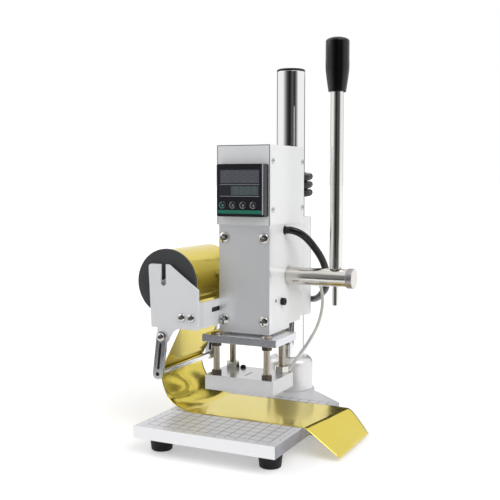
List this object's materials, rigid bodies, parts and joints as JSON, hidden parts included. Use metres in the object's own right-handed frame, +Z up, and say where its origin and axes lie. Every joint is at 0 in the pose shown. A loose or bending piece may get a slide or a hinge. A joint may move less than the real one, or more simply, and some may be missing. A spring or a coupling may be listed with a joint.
{
  "type": "hot foil stamping machine",
  "caption": "Bench hot foil stamping press: gridded base, round column, lever-driven heated plate, temperature controller box, and a gold foil roll with its guide rod.",
  "frame": {"origin": "under the middle of the overall box, on the table the feet stand on", "axes": "+X to the user's right (the lever side), +Y to the rear (the column side), +Z up"},
  "size_m": [0.204, 0.2304, 0.374],
  "materials": {
    "ground_aluminium": "fine ground plate with an engraved grid",
    "foot_rubber": "matt black rubber",
    "column_chrome": "polished chrome plate",
    "lever_chrome": "polished chrome plate",
    "collar_aluminium": "satin turned aluminium",
    "cap_plastic": "matt black plastic",
    "head_paint": "smooth off-white enamel",
    "front_plate_paint": "satin silver-grey enamel",
    "box_paint": "satin white powder coat",
    "panel_paint": "satin light grey powder coat",
    "bracket_paint": "satin white powder coat",
    "arm_steel": "brushed stainless sheet",
    "screw_steel": "bright zinc plate",
    "black_screw": "black oxide",
    "spring_steel": "drawn spring wire",
    "bush_bronze": "plain bearing bronze",
    "gear_steel": "machined steel",
    "grip_plastic": "smooth black moulding",
    "controller_black": "glossy black moulding",
    "controller_display": "dark display window",
    "key_rubber": "soft dark key",
    "lead_rubber": "glossy black lead",
    "probe_sleeve": "pale glass-fibre sleeve",
    "axle_steel": "turned steel",
    "core_card": "wound card tube",
    "foil_gold": "gold metallised film",
    "flange_black": "black moulded disc",
    "plate_aluminium": "milled aluminium",
    "stud_steel": "bright steel thread",
    "cartridge_steel": "heat-tinted steel sheath"
  },
  "bodies": {
    "frame": {"base_plate": "ground_aluminium", "rubber_feet": "foot_rubber", "foot_screws": "screw_steel", "column": "column_chrome", "column_cap": "cap_plastic", "column_collar": "collar_aluminium", "column_bolt": "black_screw", "foil_web": "foil_gold", "foil_lay": "foil_gold"},
    "head": {"head_body": "head_paint", "head_front_plate": "front_plate_paint", "front_plate_screws": "screw_steel", "head_lock_screws": "black_screw", "side_lock_screw": "black_screw", "spring_stop_pin": "screw_steel", "return_spring": "spring_steel", "shaft_bushes": "bush_bronze", "box_chassis": "box_paint", "box_cover": "box_paint", "box_front_panel": "panel_paint", "cover_screws": "screw_steel", "chassis_screws": "screw_steel", "controller_case": "cap_plastic", "controller_bezel": "controller_black", "controller_window": "controller_display", "lead_glands": "cap_plastic", "heater_lead_loop": "lead_rubber", "heater_lead_winding": "lead_rubber", "heater_lead_tail": "lead_rubber", "roll_bracket": "bracket_paint", "bracket_screws": "screw_steel", "roll_cheeks": "bracket_paint", "cheek_screws": "screw_steel", "guide_pivot_screws": "screw_steel", "probe_lead": "probe_sleeve"},
    "set_key": {"key_set": "key_rubber"},
    "shift_key": {"key_shift": "key_rubber"},
    "down_key": {"key_down": "key_rubber"},
    "up_key": {"key_up": "key_rubber"},
    "guide": {"guide_arms": "arm_steel", "guide_rod": "column_chrome"},
    "roll": {"roll_axle": "axle_steel", "roll_core": "core_card", "foil_roll": "foil_gold", "roll_flanges": "flange_black"},
    "lever": {"lever_shaft": "lever_chrome", "lever_pinion": "gear_steel", "lever_rod": "lever_chrome", "lever_grip": "grip_plastic", "shaft_end_cap": "lever_chrome", "shaft_retaining_ring": "spring_steel"},
    "press": {"ram": "gear_steel", "ram_screws": "screw_steel", "upper_plate": "plate_aluminium", "plate_studs": "stud_steel", "stud_nuts": "stud_steel", "heater_plate": "plate_aluminium", "cartridge_heaters": "cartridge_steel", "probe_screw": "black_screw"}
  },
  "joints": [
    {"name": "head_height", "type": "slide", "parent": "frame", "child": "head", "axis": [0, 0, 1], "range_m": [0, 0.1], "deforming": ["foil_web"]},
    {"name": "lever_turn", "type": "hinge", "parent": "head", "child": "lever", "pos_m": [-0.003, 0.01172, 0.152], "axis": [1, 0, 0], "range_deg": [0, 63]},
    {"name": "ram_slide", "type": "slide", "parent": "head", "child": "press", "axis": [0, 0, 1], "range_m": [-0.0198, 0], "stiffness_N_per_m": 900, "springref_m": 0.02, "deforming": ["return_spring", "probe_lead"]},
    {"name": "roll_spin", "type": "hinge", "parent": "head", "child": "roll", "pos_m": [-0.0705, -0.01625, 0.148], "axis": [0, 1, 0], "continuous": true},
    {"name": "guide_swing", "type": "hinge", "parent": "head", "child": "guide", "pos_m": [-0.071, -0.01625, 0.098], "axis": [0, -1, 0], "range_deg": [0, 25]},
    {"name": "key_set_press", "type": "slide", "parent": "head", "child": "set_key", "axis": [0, 1, 0], "range_m": [0, 0.0008], "stiffness_N_per_m": 500, "springref_m": -0.0008},
    {"name": "key_shift_press", "type": "slide", "parent": "head", "child": "shift_key", "axis": [0, 1, 0], "range_m": [0, 0.0008], "stiffness_N_per_m": 500, "springref_m": -0.0008},
    {"name": "key_down_press", "type": "slide", "parent": "head", "child": "down_key", "axis": [0, 1, 0], "range_m": [0, 0.0008], "stiffness_N_per_m": 500, "springref_m": -0.0008},
    {"name": "key_up_press", "type": "slide", "parent": "head", "child": "up_key", "axis": [0, 1, 0], "range_m": [0, 0.0008], "stiffness_N_per_m": 500, "springref_m": -0.0008}
  ],
  "couplings": [
    {"joint": "ram_slide", "follows": "lever_turn", "m_per_rad": -0.018}
  ]
}
